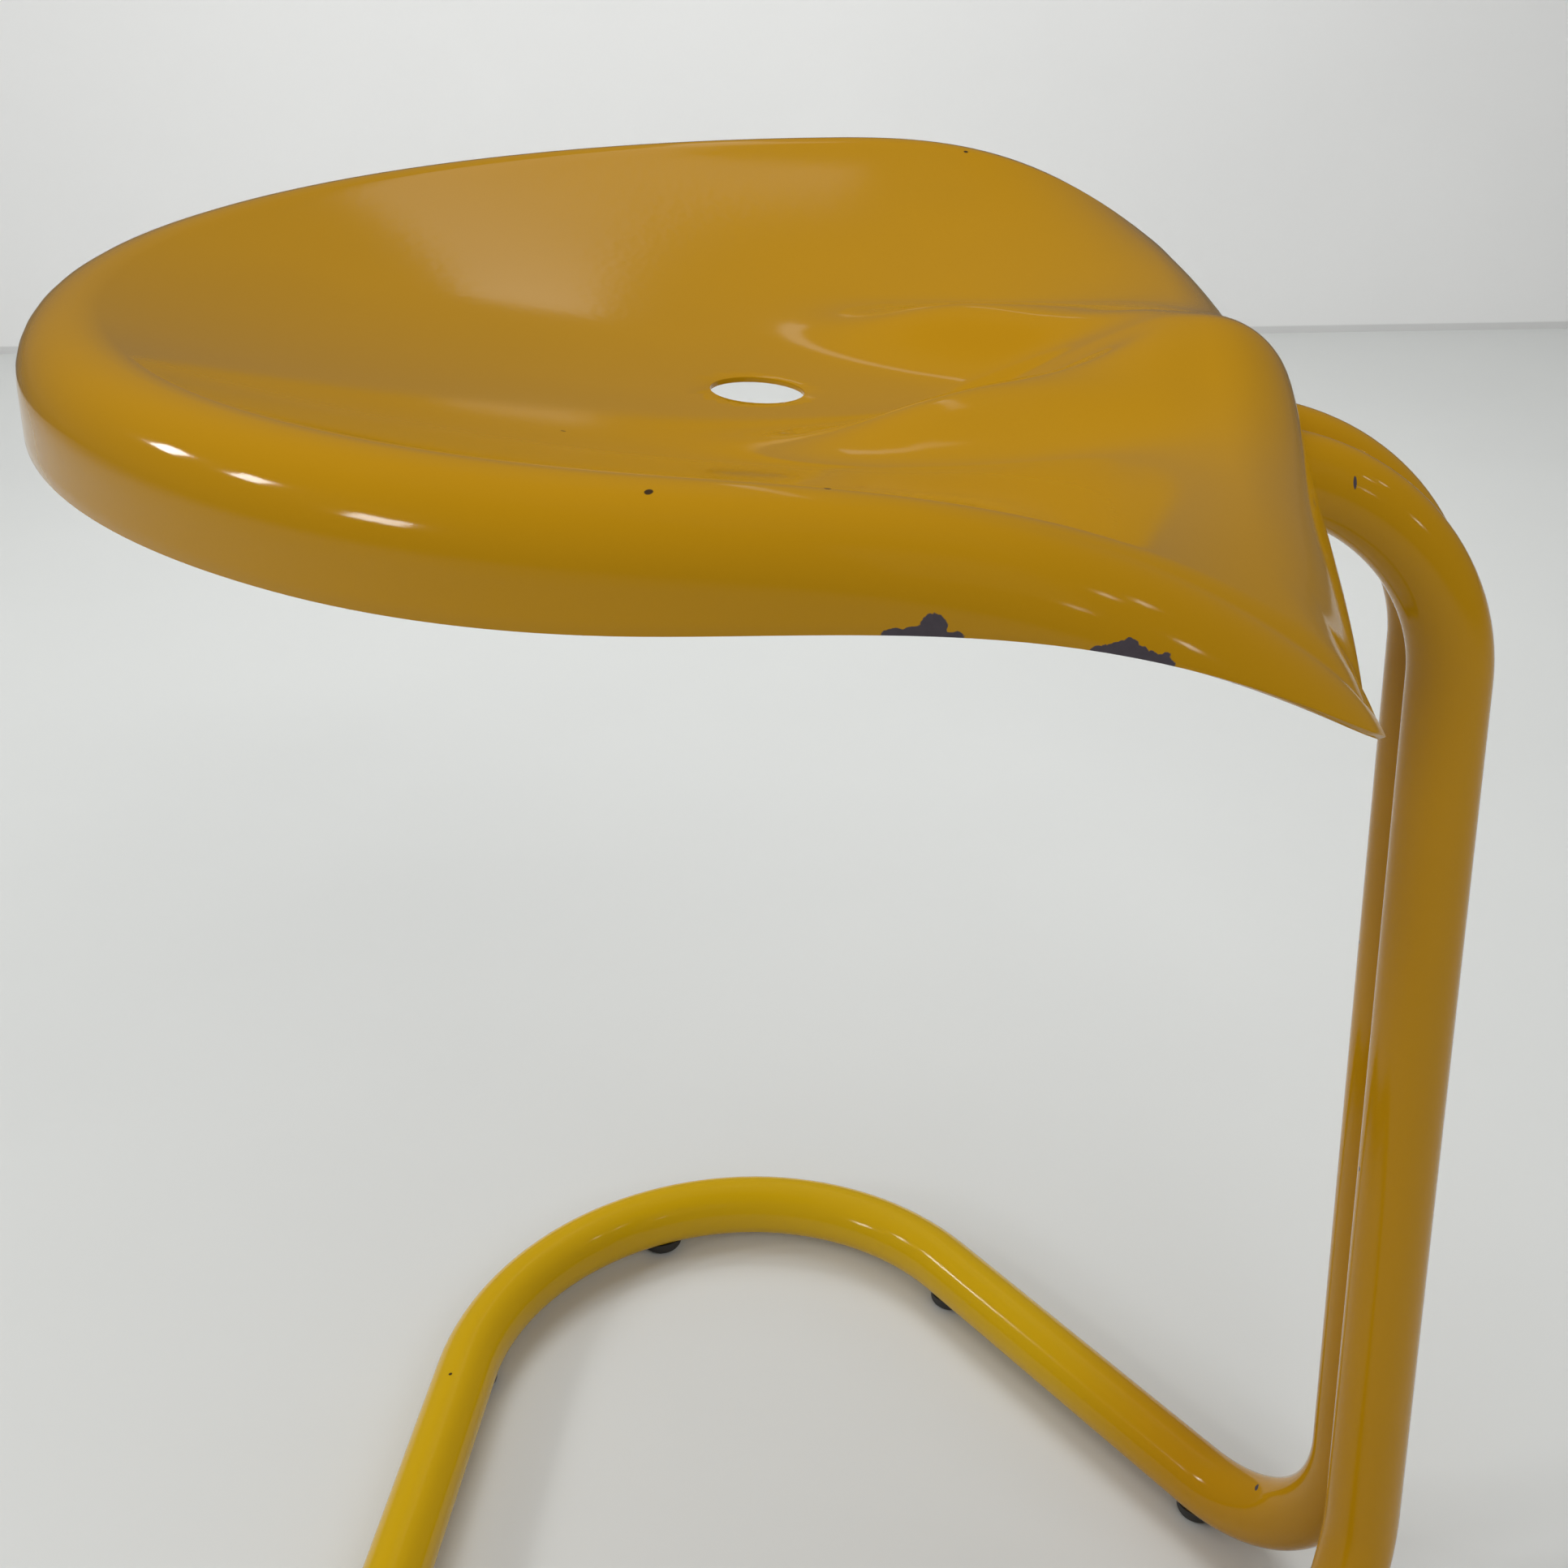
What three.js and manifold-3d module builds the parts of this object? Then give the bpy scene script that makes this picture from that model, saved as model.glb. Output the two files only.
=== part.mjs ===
// Tractor seat stool: a pressed steel pan welded to a frame that is bent from one length of tube.
// Millimetres, +Z up. x = 0 is the plane of symmetry and the front of the seat faces -Y.

import * as THREE from "three";
import { mergeVertices } from "three/addons/utils/BufferGeometryUtils.js";
import Module from "manifold-3d";

const wasm = await Module();
wasm.setup();

// Frame tube
const tubeDiameter = 25.4;
const tubeWall = 1.6;
const uprightGap = 4.5; // between the two uprights
const baseWidth = 471; // over the widest points of the base loop
const crossReach = 351; // from the uprights' axis back to the cross-piece
const runLength = 185; // from the uprights' axis back to the open ends under the pan
const seatBendRadius = 64.3;
const footBendRadius = 68.8;
const cornerBendRadius = 115.2;
const bendStep = Math.PI / 18; // the most that one step of a bend turns
const tubeSides = 16;
const boreSides = 12;

// Pan
const panThickness = 1.6;
const rimHeight = 522.3; // from the floor to the top of the rolled rim
const bowlDepth = 43.9; // from the top of the rim down to the bottom of the bowl
const crestRadius = 217.9; // from the middle of the bowl to the top of the rolled rim
const innerRollRadius = 16;
const outerRollRadius = 15;
const skirtDepth = 31.8; // from the top of the rim to the lower edge, at the back
const seatReach = 166.3; // from the uprights' axis back to the middle of the bowl
const frontReach = 115; // from the middle of the bowl forward to the cut front edge
const frontBow = 5.1; // how far the edge's middle stands forward of its tips
const frontHalfWidth = 190; // from the plane of symmetry to a front tip
const drainDiameter = 27.6;
const drainReach = 39.5; // from the middle of the bowl back to the drain hole
const panSegments = 64;
const drainSides = 32;
const bowlRings = 15;
const rollSteps = 4;

// The pan falls away towards the front: first the rim and the thigh hollows
const fallDepth = 23.7; // fall of the rim at fallReach past where it starts
const fallReach = 110;
const fallStart = -38.3; // forward of the middle of the bowl
const fallExponent = 2.88;
const fallSpread = 4; // how fast the fall grows from the middle of the bowl to the rim
const skirtFadeStart = -10; // forward of the middle of the bowl
const skirtFadeExponent = 1.6;
const skirtTipShare = 0.12; // of the skirt's depth, left at the front tips

// then the pommel, pressed up between the thighs
const pommelRise = 18.9;
const pommelStart = 15.6; // forward of the middle of the bowl
const pommelRamp = 85.6;
const pommelRampExponent = 0.66;
const pommelHalfWidth = 41.2; // to where it has half its rise
const pommelExponent = 1.6;

// and last the front edge, rolled down
const lipRadius = 28;
const lipAngle = (68 * Math.PI) / 180;
const lipFadeStart = 160; // from the plane of symmetry

// Welds between the tube and the under side of the pan
const weldRadius = 3;
const weldLength = 26;
const weldReach = 140; // from the uprights' axis back to the bead's front end
const weldOffset = 7.4; // sideways from the tube's axis

// End plugs
const plugHead = 2;
const plugCrown = 0.8;
const plugInsert = 12;
const plugFitGap = 0.5;

// Glides
const glideDiameter = 18.2;
const glideFaceDiameter = 9.6; // the flat that stands on the floor
const glideRound = 4.1; // height of the rounded edge
const glideHeight = 6.3;
const glideDrop = 3.7; // how far the glide holds the tube off the floor
const glideStemDiameter = 7.8;
const glideStemReach = 5; // past the tube's wall
const glideHoleGap = 0.3;
const glideSides = 14;
const heelGlideReach = 67.5; // from the uprights' axis along the leg
const legGlideReach = 221.8;
const cornerGlideShare = 0.531; // of the way round the corner bend, from the leg
const crossGlideShare = 0.96;

// Shared
const seatGap = 0.3; // between pieces that touch
const overrun = 5; // how far a cut runs past what it cuts

const tubeRadius = tubeDiameter / 2;
const boreRadius = tubeRadius - tubeWall;
const uprightX = (tubeDiameter + uprightGap) / 2;
const baseHeight = glideDrop + tubeRadius;
const bowlHeight = rimHeight - bowlDepth;
const runHeight = bowlHeight - panThickness - seatGap - tubeRadius;
const panRadius = crestRadius + outerRollRadius;

const enamel = new THREE.MeshStandardMaterial({ color: 0xc8911a, roughness: 0.28, metalness: 0.0 });
const plastic = new THREE.MeshStandardMaterial({ color: 0x1c1b1d, roughness: 0.5, metalness: 0.0 });

// Solids and meshes
function mergedFaces(geometry) {
  const bare = geometry.clone();
  bare.deleteAttribute("normal");
  bare.deleteAttribute("uv");
  const merged = mergeVertices(bare, 1e-4);
  const faces = [];
  for (let i = 0; i < merged.index.count; i += 3) {
    const [a, b, c] = [0, 1, 2].map((k) => merged.index.getX(i + k));
    if (a !== b && b !== c && c !== a) faces.push(a, b, c);
  }
  merged.setIndex(faces);
  return merged;
}

function toSolid(geometry) {
  const merged = mergedFaces(geometry);
  return new wasm.Manifold(
    new wasm.Mesh({
      numProp: 3,
      vertProperties: new Float32Array(merged.attributes.position.array),
      triVerts: new Uint32Array(merged.index.array),
    }),
  );
}

function toGeometry(solid) {
  const mesh = solid.getMesh();
  const geometry = new THREE.BufferGeometry();
  geometry.setAttribute("position", new THREE.BufferAttribute(mesh.vertProperties, 3));
  geometry.setIndex(new THREE.BufferAttribute(mesh.triVerts, 1));
  const faceted = geometry.toNonIndexed();
  faceted.computeVertexNormals();
  return faceted;
}

function namedMesh(name, solid, material) {
  const mesh = new THREE.Mesh(toGeometry(solid), material);
  mesh.name = name;
  return mesh;
}

// A vertical cylinder from z = bottom to z = top.
function post(radius, bottom, top, sides) {
  const geometry = new THREE.CylinderGeometry(radius, radius, top - bottom, sides);
  geometry.rotateX(Math.PI / 2);
  geometry.translate(0, 0, (top + bottom) / 2);
  return toSolid(geometry);
}

// A path of straight runs joined by round bends. Its stations are the two ends and the steps of the bends.
class BentPath extends THREE.Curve {
  constructor(corners, radii) {
    super();
    this.stations = [];
    const last = corners.length - 1;
    this.addStation(corners[0], corners[1].clone().sub(corners[0]));
    for (let i = 1; i < last; i += 1) {
      this.addBend(corners[i - 1], corners[i], corners[i + 1], radii[i - 1]);
    }
    this.addStation(corners[last], corners[last].clone().sub(corners[last - 1]));
  }

  addStation(point, direction) {
    this.stations.push({ point: point.clone(), tangent: direction.clone().normalize() });
  }

  addBend(before, corner, after, radius) {
    const into = corner.clone().sub(before).normalize();
    const out = after.clone().sub(corner).normalize();
    const turn = into.angleTo(out);
    const start = corner.clone().addScaledVector(into, -radius * Math.tan(turn / 2));
    const inward = out.clone().addScaledVector(into, -into.dot(out)).normalize();
    const centre = start.clone().addScaledVector(inward, radius);
    const steps = Math.ceil(turn / bendStep);
    for (let k = 0; k <= steps; k += 1) {
      const angle = (turn * k) / steps;
      const spoke = inward.clone().multiplyScalar(-Math.cos(angle)).addScaledVector(into, Math.sin(angle));
      const tangent = into.clone().multiplyScalar(Math.cos(angle)).addScaledVector(inward, Math.sin(angle));
      this.addStation(centre.clone().addScaledVector(spoke, radius), tangent);
    }
  }

  get steps() {
    return this.stations.length - 1;
  }

  stationAt(t) {
    return this.stations[Math.round(THREE.MathUtils.clamp(t, 0, 1) * this.steps)];
  }

  getPoint(t, target = new THREE.Vector3()) {
    return target.copy(this.stationAt(t).point);
  }

  getTangent(t, target = new THREE.Vector3()) {
    return target.copy(this.stationAt(t).tangent);
  }

  getUtoTmapping(u) {
    return u;
  }
}

function circlePoints(radius, sides) {
  const points = [];
  for (let k = 0; k < sides; k += 1) {
    const angle = (2 * Math.PI * k) / sides;
    points.push(new THREE.Vector2(radius * Math.cos(angle), radius * Math.sin(angle)));
  }
  return points;
}

// Sweeps a round section along a path, hollow where a bore is given.
function sweepRound(path, radius, sides, bore = 0) {
  const section = new THREE.Shape(circlePoints(radius, sides));
  if (bore > 0) section.holes.push(new THREE.Path(circlePoints(bore, boreSides)));
  return toSolid(new THREE.ExtrudeGeometry(section, { steps: path.steps, extrudePath: path }));
}

// Frame: where the tube runs. The leg leaves the uprights' foot and touches the corner bend's circle.
const cornerX = baseWidth / 2 - tubeRadius - cornerBendRadius;
const cornerY = crossReach - cornerBendRadius;
const cornerDistance = Math.hypot(cornerX - uprightX, cornerY);
const legAngle = Math.atan2(cornerX - uprightX, cornerY) + Math.asin(cornerBendRadius / cornerDistance);
const cornerTurn = Math.PI / 2 + legAngle;

function frameCorners() {
  const reach = uprightX + crossReach * Math.tan(legAngle);
  const right = [
    new THREE.Vector3(uprightX, runLength, runHeight),
    new THREE.Vector3(uprightX, 0, runHeight),
    new THREE.Vector3(uprightX, 0, baseHeight),
    new THREE.Vector3(reach, crossReach, baseHeight),
  ];
  const left = right.map((point) => new THREE.Vector3(-point.x, point.y, point.z));
  return [...right, ...left.reverse()];
}

const bendRadii = [seatBendRadius, footBendRadius, cornerBendRadius];
const framePath = new BentPath(frameCorners(), [...bendRadii, ...bendRadii.slice().reverse()]);
const tubeEnvelope = sweepRound(framePath, tubeRadius + seatGap, tubeSides);

// Where the glides stand on the right half.
function legPlace(reach) {
  return { x: uprightX + reach * Math.sin(legAngle), y: reach * Math.cos(legAngle) };
}

function bendPlace(share) {
  const angle = cornerTurn * share - legAngle;
  return { x: cornerX + cornerBendRadius * Math.cos(angle), y: cornerY + cornerBendRadius * Math.sin(angle) };
}

const glidePlaces = {
  heel: legPlace(heelGlideReach),
  leg: legPlace(legGlideReach),
  corner: bendPlace(cornerGlideShare),
  cross: bendPlace(crossGlideShare),
};

function frameTube() {
  let tube = sweepRound(framePath, tubeRadius, tubeSides, boreRadius);
  const holeRadius = glideStemDiameter / 2 + glideHoleGap;
  const hole = post(holeRadius, 0, baseHeight, glideSides);
  for (const place of Object.values(glidePlaces)) {
    for (const side of [1, -1]) {
      tube = tube.subtract(hole.translate([side * place.x, place.y, 0]));
    }
  }
  return tube;
}

// Glide: a domed foot, hollowed on top to sit round the tube, with a stem that plugs into the tube's hole.
function glideSolid(x, y) {
  const faceRadius = glideFaceDiameter / 2;
  const edgeWidth = glideDiameter / 2 - faceRadius;
  const profile = [new THREE.Vector2(0, 0)];
  const roundSteps = 4;
  for (let k = 0; k <= roundSteps; k += 1) {
    const angle = ((Math.PI / 2) * k) / roundSteps;
    profile.push(
      new THREE.Vector2(faceRadius + edgeWidth * Math.sin(angle), glideRound * (1 - Math.cos(angle))),
    );
  }
  profile.push(new THREE.Vector2(glideDiameter / 2, glideHeight));
  profile.push(new THREE.Vector2(0, glideHeight));
  const geometry = new THREE.LatheGeometry(profile, glideSides);
  geometry.rotateX(Math.PI / 2);
  geometry.translate(x, y, 0);
  const foot = toSolid(geometry).subtract(tubeEnvelope);
  const stemTop = glideDrop + tubeWall + glideStemReach;
  const stem = post(glideStemDiameter / 2, glideRound / 2, stemTop, glideSides);
  return foot.add(stem.translate([x, y, 0]));
}

// End plug: a domed head as wide as the tube and an insert in its bore, pushed in from +Y.
function plugSolid() {
  const insertRadius = boreRadius - plugFitGap;
  const profile = [
    new THREE.Vector2(0, -plugInsert),
    new THREE.Vector2(insertRadius - plugCrown, -plugInsert),
    new THREE.Vector2(insertRadius, plugCrown - plugInsert),
    new THREE.Vector2(insertRadius, 0),
    new THREE.Vector2(tubeRadius, 0),
    new THREE.Vector2(tubeRadius, plugHead - plugCrown),
    new THREE.Vector2(tubeRadius - plugCrown, plugHead),
    new THREE.Vector2(0, plugHead + plugCrown),
  ];
  return toSolid(new THREE.LatheGeometry(profile, tubeSides));
}

// Pan: the sheet's upper side is a revolved bowl, pressed to its final form, then given its thickness.
const rollCentreHeight = rimHeight - innerRollRadius;
const bowlRadius = (crestRadius ** 2 + bowlDepth ** 2) / (2 * bowlDepth) - innerRollRadius;
const bowlAngle = Math.asin(crestRadius / (bowlRadius + innerRollRadius));

// From the lower edge of the skirt, over the rim and down to the middle of the bowl.
function panProfile() {
  const profile = [new THREE.Vector2(panRadius, rimHeight - skirtDepth)];
  for (let k = 0; k < rollSteps; k += 1) {
    const angle = ((Math.PI / 2) * k) / rollSteps;
    profile.push(
      new THREE.Vector2(
        crestRadius + outerRollRadius * Math.cos(angle),
        rimHeight - outerRollRadius * (1 - Math.sin(angle)),
      ),
    );
  }
  for (let k = 0; k < rollSteps; k += 1) {
    const angle = (bowlAngle * k) / rollSteps;
    profile.push(
      new THREE.Vector2(
        crestRadius - innerRollRadius * Math.sin(angle),
        rollCentreHeight + innerRollRadius * Math.cos(angle),
      ),
    );
  }
  for (let k = bowlRings; k >= 0; k -= 1) {
    const angle = (bowlAngle * k) / bowlRings;
    profile.push(
      new THREE.Vector2(
        bowlRadius * Math.sin(angle),
        bowlHeight + bowlRadius * (1 - Math.cos(angle)),
      ),
    );
  }
  return profile;
}

// Height of the unpressed sheet's upper side at a distance from the middle of the bowl.
function sheetHeight(radius) {
  if (radius <= bowlRadius * Math.sin(bowlAngle)) {
    return bowlHeight + bowlRadius - Math.sqrt(bowlRadius ** 2 - radius ** 2);
  }
  const roll = radius < crestRadius ? innerRollRadius : outerRollRadius;
  const beside = Math.min(Math.abs(radius - crestRadius), roll);
  return rimHeight - roll + Math.sqrt(roll ** 2 - beside ** 2);
}

// How far forward of the middle of the bowl the front edge is cut.
function frontEdge(x) {
  return frontReach - frontBow * (x / frontHalfWidth) ** 2;
}

// Distance from the middle of the bowl, at an angle from straight forward, to the front edge moved back.
function frontRadius(angle, back) {
  const reach = frontReach - back;
  const bow = frontBow * (Math.sin(angle) / frontHalfWidth) ** 2;
  return (2 * reach) / (Math.cos(angle) + Math.sqrt(Math.cos(angle) ** 2 + 4 * bow * reach));
}

// Fits the sheet's net to its outline: one spoke ends in the front tip, and the spokes in front of it end on the
// front edge, with most of their rings in the lip.
const tipBow = frontBow * (panRadius / frontHalfWidth) ** 2;
const tipReach = frontReach - tipBow;
const tipAngle = Math.acos((2 * tipReach) / (panRadius + Math.sqrt(panRadius ** 2 - 4 * tipBow * tipReach)));
const spokeAngle = (2 * Math.PI) / panSegments;
const tipSpokeAngle = Math.round(tipAngle / spokeAngle) * spokeAngle;
const lipWidth = lipRadius * Math.sin(lipAngle);

function fitted(x, forward, height) {
  const spoke = Math.atan2(Math.abs(x), forward);
  const radius = Math.hypot(x, forward);
  const isFront = spoke < tipSpokeAngle + spokeAngle / 2;
  const behind = (spoke - tipSpokeAngle) * ((Math.PI - tipAngle) / (Math.PI - tipSpokeAngle));
  const angle = spoke < tipSpokeAngle ? spoke * (tipAngle / tipSpokeAngle) : tipAngle + behind;
  const edge = isFront ? Math.min(frontRadius(angle, 0), panRadius) : panRadius;
  const lipStart = Math.min(frontRadius(angle, lipWidth), edge);
  const isLip = edge < panRadius && radius > lipStart;
  const share = (radius - lipStart) / (panRadius - lipStart);
  const reach = isLip ? lipStart + (edge - lipStart) * share : radius;
  return {
    x: Math.sign(x) * reach * Math.sin(angle),
    forward: reach * Math.cos(angle),
    height: isLip ? sheetHeight(reach) : height,
    outside: reach > crestRadius,
  };
}

// How far the press moves the sheet up at x, and at forward in front of the middle of the bowl.
function pressOffset(x, forward) {
  const fallen = Math.max(forward - fallStart, 0) / fallReach;
  const spread = Math.min(Math.hypot(x, forward) / crestRadius, 1) ** fallSpread;
  const along = THREE.MathUtils.clamp((forward - pommelStart) / pommelRamp, 0, 1);
  const ramp = THREE.MathUtils.smootherstep(along ** pommelRampExponent, 0, 1);
  const across = 2 ** -((Math.abs(x) / pommelHalfWidth) ** pommelExponent);
  return pommelRise * ramp * across - fallDepth * fallen ** fallExponent * spread - lipDrop(x, forward);
}

// The front lip: an arc through lipAngle that ends at the front edge and fades out towards the tips.
function lipDrop(x, forward) {
  const onArc = THREE.MathUtils.clamp(forward - frontEdge(x) + lipWidth, 0, lipWidth);
  const left = 1 - THREE.MathUtils.smoothstep(Math.abs(x), lipFadeStart, panRadius * Math.sin(tipAngle));
  return (lipRadius - Math.sqrt(lipRadius ** 2 - onArc ** 2)) * left;
}

// The share of the skirt's depth that is left at forward.
function skirtShare(forward) {
  const faded = THREE.MathUtils.clamp((forward - skirtFadeStart) / (frontReach - skirtFadeStart), 0, 1);
  return 1 - (1 - skirtTipShare) * faded ** skirtFadeExponent;
}

function pressedSkin() {
  const lathe = new THREE.LatheGeometry(panProfile(), panSegments);
  lathe.rotateX(Math.PI / 2);
  const skin = mergedFaces(lathe);
  const position = skin.attributes.position;
  for (let i = 0; i < position.count; i += 1) {
    const place = fitted(position.getX(i), -position.getY(i), position.getZ(i));
    const share = place.outside ? skirtShare(place.forward) : 1;
    const height = rimHeight - (rimHeight - place.height) * share;
    position.setXYZ(i, place.x, -place.forward, height + pressOffset(place.x, place.forward));
  }
  const pressed = mergedFaces(skin);
  pressed.computeVertexNormals();
  return pressed;
}

// Gives a surface a thickness on its under side and closes its free edges, as sheet metal has them.
function thicken(skin, thickness) {
  const position = skin.attributes.position;
  const normal = skin.attributes.normal;
  const count = position.count;
  const upper = [];
  const lower = [];
  for (let i = 0; i < count; i += 1) {
    const point = new THREE.Vector3().fromBufferAttribute(position, i);
    const under = new THREE.Vector3().fromBufferAttribute(normal, i).multiplyScalar(-thickness).add(point);
    upper.push(...point.toArray());
    lower.push(...under.toArray());
  }
  const corners = Array.from(skin.index.array);
  const edges = new Set();
  const faces = [];
  for (let i = 0; i < corners.length; i += 3) {
    const [a, b, c] = corners.slice(i, i + 3);
    faces.push(a, b, c, a + count, c + count, b + count);
    for (const [from, to] of [[a, b], [b, c], [c, a]]) edges.add(from * count + to);
  }
  for (const edge of edges) {
    const from = Math.floor(edge / count);
    const to = edge % count;
    if (!edges.has(to * count + from)) {
      faces.push(to, from, from + count, to, from + count, to + count);
    }
  }
  const sheet = new THREE.BufferGeometry();
  sheet.setAttribute("position", new THREE.Float32BufferAttribute([...upper, ...lower], 3));
  sheet.setIndex(faces);
  return toSolid(sheet);
}

const panSheet = thicken(pressedSkin(), panThickness).translate([0, seatReach, 0]);
const drainPunch = post(drainDiameter / 2, bowlHeight - overrun, rimHeight, drainSides);
const seatPan = panSheet.subtract(drainPunch.translate([0, seatReach + drainReach, 0]));

// Weld bead: fills the corner between the outer side of a run and the pan above it.
function weldSolid(side) {
  const bead = new THREE.CapsuleGeometry(weldRadius, weldLength, 4, 10);
  const underside = bowlHeight - panThickness;
  bead.translate(side * (uprightX + weldOffset), weldReach + weldLength / 2, underside - weldRadius / 2);
  return toSolid(bead)
    .subtract(tubeEnvelope)
    .subtract(panSheet)
    .subtract(panSheet.translate([0, 0, -seatGap]));
}

const stool = new THREE.Group();
const frame = new THREE.Group();
const depth = seatReach + panRadius + tubeRadius;
frame.position.set(0, tubeRadius - depth / 2, 0);
stool.add(frame);

frame.add(namedMesh("seat_pan", seatPan, enamel));
frame.add(namedMesh("frame_tube", frameTube(), enamel));

for (const [sideName, side] of [["right", 1], ["left", -1]]) {
  frame.add(namedMesh(`weld_bead_${sideName}`, weldSolid(side), enamel));
  const plug = namedMesh(`end_plug_${sideName}`, plugSolid(), plastic);
  plug.position.set(side * uprightX, runLength + seatGap, runHeight);
  frame.add(plug);
  for (const [placeName, place] of Object.entries(glidePlaces)) {
    const glide = glideSolid(side * place.x, place.y);
    frame.add(namedMesh(`glide_${placeName}_${sideName}`, glide, plastic));
  }
}

export default stool;
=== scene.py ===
import math

import bpy
from bpy.props import FloatProperty, FloatVectorProperty, PointerProperty
from mathutils import Matrix, Quaternion, Vector


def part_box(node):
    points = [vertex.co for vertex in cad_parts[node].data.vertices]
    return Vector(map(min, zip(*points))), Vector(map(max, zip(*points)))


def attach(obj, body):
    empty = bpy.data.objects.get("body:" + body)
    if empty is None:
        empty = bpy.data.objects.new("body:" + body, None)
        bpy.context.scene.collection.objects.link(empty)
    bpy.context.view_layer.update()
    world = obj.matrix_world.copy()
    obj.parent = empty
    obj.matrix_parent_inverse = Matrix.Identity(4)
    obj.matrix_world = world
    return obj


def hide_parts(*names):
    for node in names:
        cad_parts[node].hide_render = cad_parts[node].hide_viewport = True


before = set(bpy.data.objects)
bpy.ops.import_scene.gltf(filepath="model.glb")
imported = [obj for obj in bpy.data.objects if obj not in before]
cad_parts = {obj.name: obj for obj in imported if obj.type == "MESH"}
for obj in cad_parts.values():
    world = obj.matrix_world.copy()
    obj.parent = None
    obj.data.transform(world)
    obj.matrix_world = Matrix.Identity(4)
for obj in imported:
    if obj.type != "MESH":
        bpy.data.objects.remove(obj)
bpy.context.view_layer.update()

bl_info = {
    "name": "Tractor seat stool",
    "version": (1, 0, 0),
    "blender": (4, 5, 0),
    "location": "3D View > Sidebar > Stool",
    "description": "Models the pressed seat, the bent tube frame and its fittings, with their finishes",
    "category": "Object",
}

TUBE_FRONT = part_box("frame_tube")[0].y
MM = 0.001
MERGE_DISTANCE = 0.002 * MM
FULL_TURN = 2 * math.pi
QUARTER_TURN = math.pi / 2
FLOOR_UP = Vector((0, 0, 1))


def setting_maker(kind, **usual):
    """Gives a function that declares settings of one kind, with what they have in common."""
    def declare(name, description, default, **own):
        return kind(name=name, description=description, default=default, **{**usual, **own})
    return declare


length = setting_maker(FloatProperty, min=0.0, precision=5, unit="LENGTH", subtype="DISTANCE")
share = setting_maker(FloatProperty, min=0.0, max=1.0, subtype="FACTOR")
number = setting_maker(FloatProperty, precision=4)
rotation = setting_maker(FloatProperty, unit="ROTATION", subtype="ANGLE")
colour = setting_maker(FloatVectorProperty, size=3, min=0.0, max=1.0, subtype="COLOR")
place = setting_maker(FloatVectorProperty, size=3, precision=4, unit="LENGTH", subtype="TRANSLATION")


def turn(name, description, degrees):
    return rotation(name, description, math.radians(degrees))


# Sizes that a maker would change

class TubeSizes(bpy.types.PropertyGroup):
    diameter: length("Diameter", "Outside diameter of the frame tube", 25.4 * MM)
    wall: length("Wall", "Thickness of the tube's wall", 1.6 * MM)
    upright_gap: length("Upright gap", "Clear space between the two uprights", 4.5 * MM)
    base_width: length("Base width", "Width over the loop on the floor", 471 * MM)
    cross_reach: length("Cross reach", "From the uprights' axis back to the cross-piece", 351 * MM)
    run_length: length("Run length", "From the uprights' axis back to the open ends", 185 * MM)
    run_height: length("Run height", "From the floor to the axis of the runs under the seat", 463.8 * MM)
    seat_bend: length("Seat bend", "Radius of the bend under the seat, at the axis", 64.3 * MM)
    foot_bend: length("Foot bend", "Radius of the bend at the floor, at the axis", 68.8 * MM)
    corner_bend: length("Corner bend", "Radius of the loop's back corners, at the axis", 115.2 * MM)


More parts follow.
